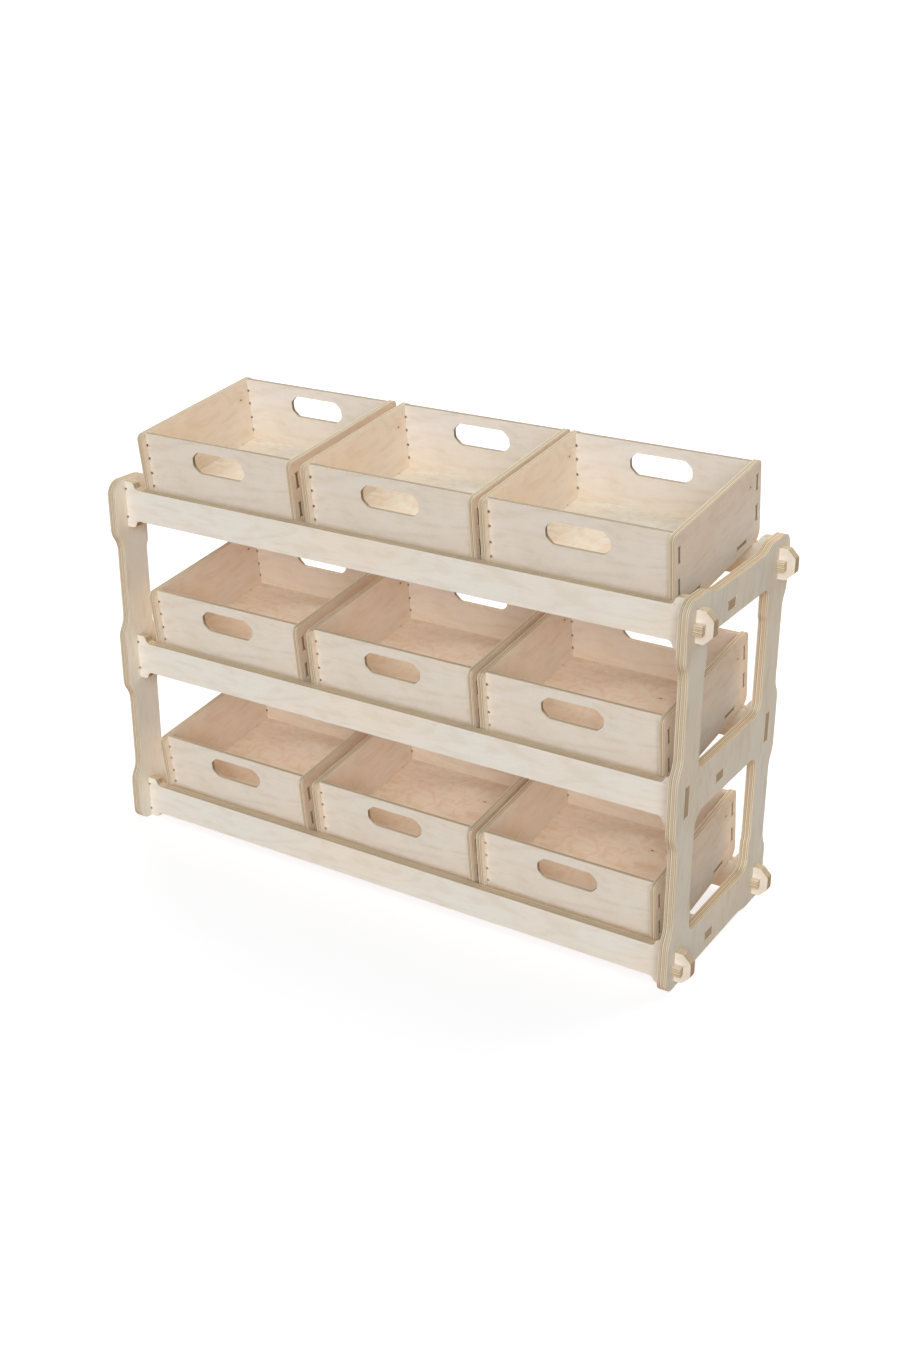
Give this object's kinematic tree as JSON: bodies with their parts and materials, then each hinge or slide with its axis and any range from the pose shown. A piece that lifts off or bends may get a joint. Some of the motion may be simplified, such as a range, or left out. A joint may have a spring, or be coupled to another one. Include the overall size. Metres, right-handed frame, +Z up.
{
  "type": "modular box shelf",
  "caption": "Low open plywood shelf rack with ladder end panels, wedged through-tenon rails and forward-tilted lift-out boxes with hand holes.",
  "frame": {"origin": "on the floor at the middle of the rack, midway between the end panels and midway between front and back", "axes": "+X along the rack to the right as seen from the front, +Y towards the back, +Z up"},
  "size_m": [1.05, 0.35, 0.7089],
  "materials": {
    "rack_plywood": "birch plywood, 15 mm, sanded, unfinished, with plies showing on every edge",
    "wedge_plywood": "birch plywood, 15 mm, sanded, plies level",
    "box_plywood": "birch plywood, 9 mm, sanded, unfinished",
    "box_floor_plywood": "birch plywood, 9 mm, sanded, unfinished"
  },
  "bodies": {
    "rack": {"end_panel_left": "rack_plywood", "end_panel_right": "rack_plywood", "front_rail_top": "rack_plywood", "front_rail_middle": "rack_plywood", "front_rail_bottom": "rack_plywood", "rear_rail_top": "rack_plywood", "rear_rail_middle": "rack_plywood", "rear_rail_bottom": "rack_plywood", "centre_rail_top": "rack_plywood", "centre_rail_middle": "rack_plywood", "centre_rail_bottom": "rack_plywood", "wedges": "wedge_plywood"},
    "top_left_box": {"top_left_box_front": "box_plywood", "top_left_box_back": "box_plywood", "top_left_box_left_side": "box_plywood", "top_left_box_right_side": "box_plywood", "top_left_box_floor": "box_floor_plywood"},
    "top_centre_box": {"top_centre_box_front": "box_plywood", "top_centre_box_back": "box_plywood", "top_centre_box_left_side": "box_plywood", "top_centre_box_right_side": "box_plywood", "top_centre_box_floor": "box_floor_plywood"},
    "top_right_box": {"top_right_box_front": "box_plywood", "top_right_box_back": "box_plywood", "top_right_box_left_side": "box_plywood", "top_right_box_right_side": "box_plywood", "top_right_box_floor": "box_floor_plywood"},
    "middle_left_box": {"middle_left_box_front": "box_plywood", "middle_left_box_back": "box_plywood", "middle_left_box_left_side": "box_plywood", "middle_left_box_right_side": "box_plywood", "middle_left_box_floor": "box_floor_plywood"},
    "middle_centre_box": {"middle_centre_box_front": "box_plywood", "middle_centre_box_back": "box_plywood", "middle_centre_box_left_side": "box_plywood", "middle_centre_box_right_side": "box_plywood", "middle_centre_box_floor": "box_floor_plywood"},
    "middle_right_box": {"middle_right_box_front": "box_plywood", "middle_right_box_back": "box_plywood", "middle_right_box_left_side": "box_plywood", "middle_right_box_right_side": "box_plywood", "middle_right_box_floor": "box_floor_plywood"},
    "bottom_left_box": {"bottom_left_box_front": "box_plywood", "bottom_left_box_back": "box_plywood", "bottom_left_box_left_side": "box_plywood", "bottom_left_box_right_side": "box_plywood", "bottom_left_box_floor": "box_floor_plywood"},
    "bottom_centre_box": {"bottom_centre_box_front": "box_plywood", "bottom_centre_box_back": "box_plywood", "bottom_centre_box_left_side": "box_plywood", "bottom_centre_box_right_side": "box_plywood", "bottom_centre_box_floor": "box_floor_plywood"},
    "bottom_right_box": {"bottom_right_box_front": "box_plywood", "bottom_right_box_back": "box_plywood", "bottom_right_box_left_side": "box_plywood", "bottom_right_box_right_side": "box_plywood", "bottom_right_box_floor": "box_floor_plywood"}
  },
  "joints": [
    {"name": "top_left_box_lift", "type": "slide", "parent": "rack", "child": "top_left_box", "axis": [0, -0.1256, 0.9921], "range_m": [0, 0.16]},
    {"name": "top_centre_box_lift", "type": "slide", "parent": "rack", "child": "top_centre_box", "axis": [0, -0.1256, 0.9921], "range_m": [0, 0.16]},
    {"name": "top_right_box_lift", "type": "slide", "parent": "rack", "child": "top_right_box", "axis": [0, -0.1256, 0.9921], "range_m": [0, 0.16]},
    {"name": "middle_left_box_lift", "type": "slide", "parent": "rack", "child": "middle_left_box", "axis": [0, -0.1256, 0.9921], "range_m": [0, 0.09]},
    {"name": "middle_centre_box_lift", "type": "slide", "parent": "rack", "child": "middle_centre_box", "axis": [0, -0.1256, 0.9921], "range_m": [0, 0.09]},
    {"name": "middle_right_box_lift", "type": "slide", "parent": "rack", "child": "middle_right_box", "axis": [0, -0.1256, 0.9921], "range_m": [0, 0.09]},
    {"name": "bottom_left_box_lift", "type": "slide", "parent": "rack", "child": "bottom_left_box", "axis": [0, -0.1256, 0.9921], "range_m": [0, 0.09]},
    {"name": "bottom_centre_box_lift", "type": "slide", "parent": "rack", "child": "bottom_centre_box", "axis": [0, -0.1256, 0.9921], "range_m": [0, 0.09]},
    {"name": "bottom_right_box_lift", "type": "slide", "parent": "rack", "child": "bottom_right_box", "axis": [0, -0.1256, 0.9921], "range_m": [0, 0.09]}
  ]
}
